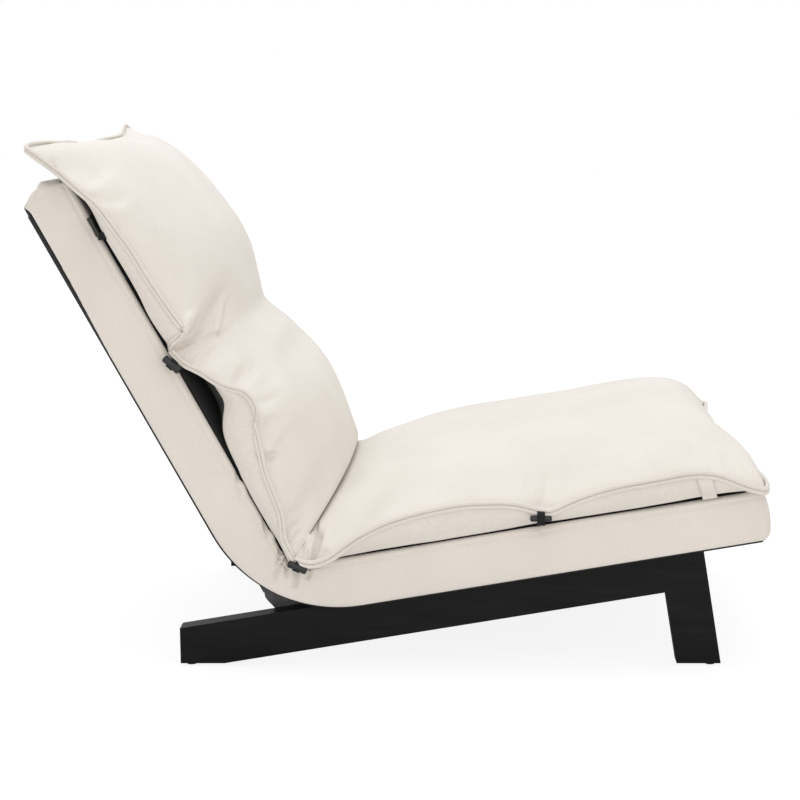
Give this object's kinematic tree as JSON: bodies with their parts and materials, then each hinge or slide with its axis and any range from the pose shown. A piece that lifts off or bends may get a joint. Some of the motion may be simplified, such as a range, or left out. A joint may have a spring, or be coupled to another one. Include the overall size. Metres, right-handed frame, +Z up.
{
  "type": "reclining floor chair",
  "caption": "Low armless lounge chair on sloping board legs, with a reclining padded back and a puffed topper held by toggles.",
  "frame": {"origin": "on the floor, under the middle of the chair's overall width and depth", "axes": "+Z up, -Y towards the front edge of the seat, +X to the right in a view from the front"},
  "size_m": [0.7256, 1.0206, 0.7504],
  "materials": {
    "black_board": "satin black lacquer",
    "birch": "clear lacquered bent laminate",
    "dowel_wood": "bare beech",
    "black_tube": "black powder coat",
    "hinge_plate": "black baked enamel",
    "zinc_steel": "bright zinc plate",
    "spring_steel": "blued spring steel",
    "holder_plastic": "moulded, matt",
    "glide_plastic": "moulded, matt",
    "toggle_plastic": "moulded, satin",
    "loop_cord": "woven elastic",
    "foam": "open cell cushion foam",
    "cream_cloth": "plain weave cotton",
    "black_cloth": "spunbond liner cloth"
  },
  "bodies": {
    "chair": {"frame_bolts": "zinc_steel", "front_leg_left": "black_board", "front_leg_right": "black_board", "glide_front_left": "glide_plastic", "glide_front_right": "glide_plastic", "glide_nails": "zinc_steel", "glide_rear_left": "glide_plastic", "glide_rear_right": "glide_plastic", "hinge_inner_cheek_left": "hinge_plate", "hinge_inner_cheek_right": "hinge_plate", "hinge_outer_cheek_left": "hinge_plate", "hinge_outer_cheek_right": "hinge_plate", "hinge_pin_left": "zinc_steel", "hinge_pin_right": "zinc_steel", "hinge_spacers": "zinc_steel", "leg_dowels": "dowel_wood", "pawl_pin_left": "zinc_steel", "pawl_pin_right": "zinc_steel", "pawl_spring_left": "spring_steel", "pawl_spring_right": "spring_steel", "seat_casing": "cream_cloth", "seat_cross_tubes": "black_tube", "seat_dust_cover": "black_cloth", "seat_edge_foam": "foam", "seat_foam": "foam", "seat_hinge_bolts": "zinc_steel", "seat_loops": "loop_cord", "seat_puff": "cream_cloth", "seat_side_tube_left": "black_tube", "seat_side_tube_right": "black_tube", "seat_slat_holders": "holder_plastic", "seat_slats": "birch", "seat_tabs": "cream_cloth", "seat_toggles": "toggle_plastic", "seat_top_sheet": "black_cloth", "side_beam_left": "black_board", "side_beam_right": "black_board"},
    "back": {"back_arm_left": "hinge_plate", "back_arm_right": "hinge_plate", "back_casing": "cream_cloth", "back_cross_tubes": "black_tube", "back_dust_cover": "black_cloth", "back_edge_foam": "foam", "back_foam": "foam", "back_hinge_bolts": "zinc_steel", "back_loops": "loop_cord", "back_side_tube_left": "black_tube", "back_side_tube_right": "black_tube", "back_slat_holders": "holder_plastic", "back_slats": "birch", "back_toggles": "toggle_plastic", "back_top_sheet": "black_cloth", "head_puff": "cream_cloth", "lumbar_puff": "cream_cloth"},
    "pawl_right": {"pawl_right": "hinge_plate"},
    "pawl_left": {"pawl_left": "hinge_plate"}
  },
  "joints": [
    {"name": "back_recline", "type": "hinge", "parent": "chair", "child": "back", "pos_m": [0, 0.18803, 0.108], "axis": [-1, 0, 0], "range_deg": [0, 68]},
    {"name": "pawl_right_turn", "type": "hinge", "parent": "chair", "child": "pawl_right", "pos_m": [0.2624, 0.15922, 0.13051], "axis": [-1, 0, 0], "range_deg": [-12, 0], "stiffness_Nm_per_rad": 0.02, "springref_deg": 17.19},
    {"name": "pawl_left_turn", "type": "hinge", "parent": "chair", "child": "pawl_left", "pos_m": [-0.2624, 0.15922, 0.13051], "axis": [-1, 0, 0], "range_deg": [-12, 0], "stiffness_Nm_per_rad": 0.02, "springref_deg": 17.19}
  ]
}
